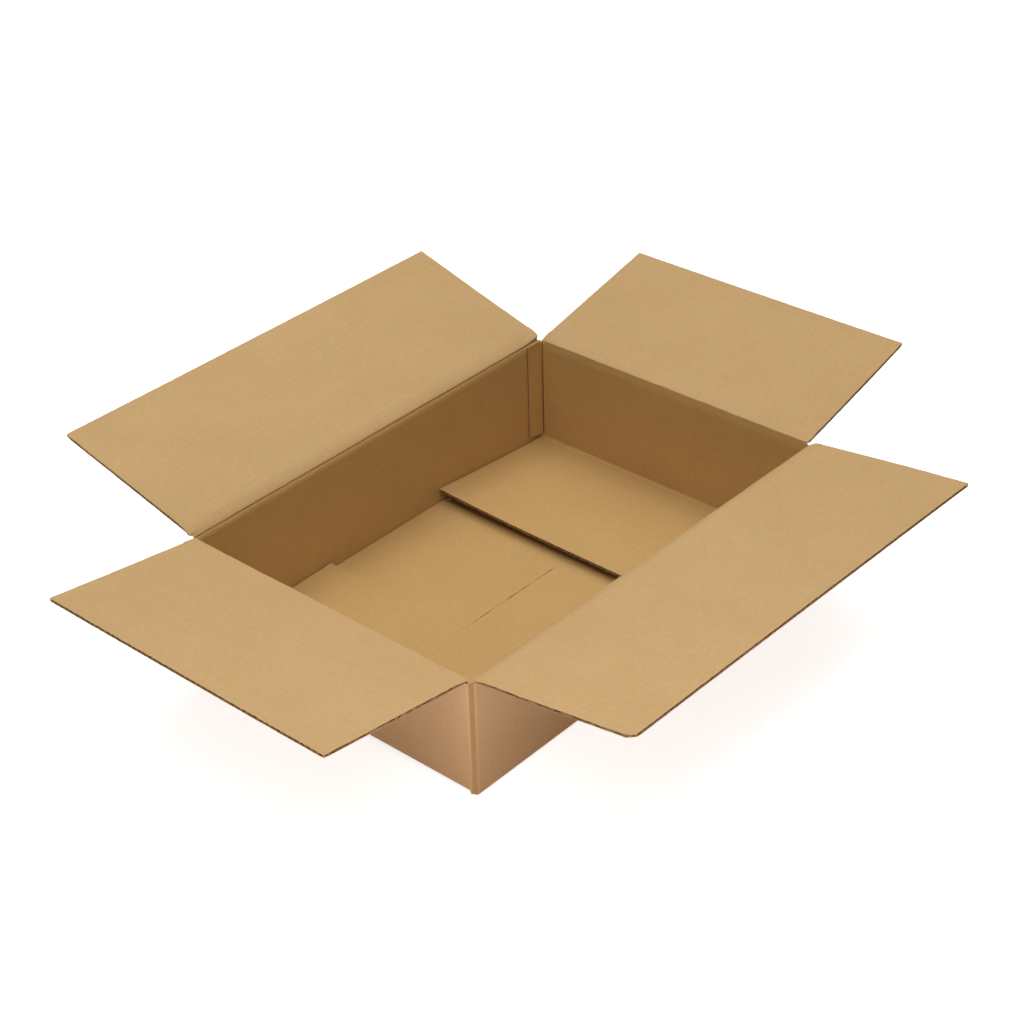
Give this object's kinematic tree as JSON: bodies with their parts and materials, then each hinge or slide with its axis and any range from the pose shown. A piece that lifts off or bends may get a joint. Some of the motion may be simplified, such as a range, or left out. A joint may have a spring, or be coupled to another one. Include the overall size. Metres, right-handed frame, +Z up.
{
  "type": "open cardboard box",
  "caption": "Shallow corrugated cardboard box, base folded and taped shut, hinged top flaps standing open.",
  "frame": {"origin": "on the surface the box stands on, under the middle of its base", "axes": "+X along the long walls towards the glued corner's short wall, +Y towards the long wall with the glued tab, +Z up"},
  "size_m": [0.8439, 0.7081, 0.1783],
  "materials": {
    "kraft_board": "matt, faintly mottled",
    "packing_tape": "smooth, slightly glossy"
  },
  "bodies": {
    "carton": {"carton_body": "kraft_board", "bottom_tape": "packing_tape"},
    "back_flap": {"long_flap_back": "kraft_board"},
    "front_flap": {"long_flap_front": "kraft_board"},
    "left_flap": {"short_flap_left": "kraft_board"},
    "right_flap": {"short_flap_right": "kraft_board"}
  },
  "joints": [
    {"name": "back_flap_fold", "type": "hinge", "parent": "carton", "child": "back_flap", "pos_m": [0, 0.179, 0.1303], "axis": [1, 0, 0], "range_deg": [-60.9, 165.7]},
    {"name": "front_flap_fold", "type": "hinge", "parent": "carton", "child": "front_flap", "pos_m": [0, -0.179, 0.1303], "axis": [-1, 0, 0], "range_deg": [-53.9, 172.7]},
    {"name": "left_flap_fold", "type": "hinge", "parent": "carton", "child": "left_flap", "pos_m": [-0.254, 0, 0.126], "axis": [0, 1, 0], "range_deg": [-54.9, 172.3]},
    {"name": "right_flap_fold", "type": "hinge", "parent": "carton", "child": "right_flap", "pos_m": [0.254, 0, 0.126], "axis": [0, -1, 0], "range_deg": [-60.5, 166.7]}
  ]
}
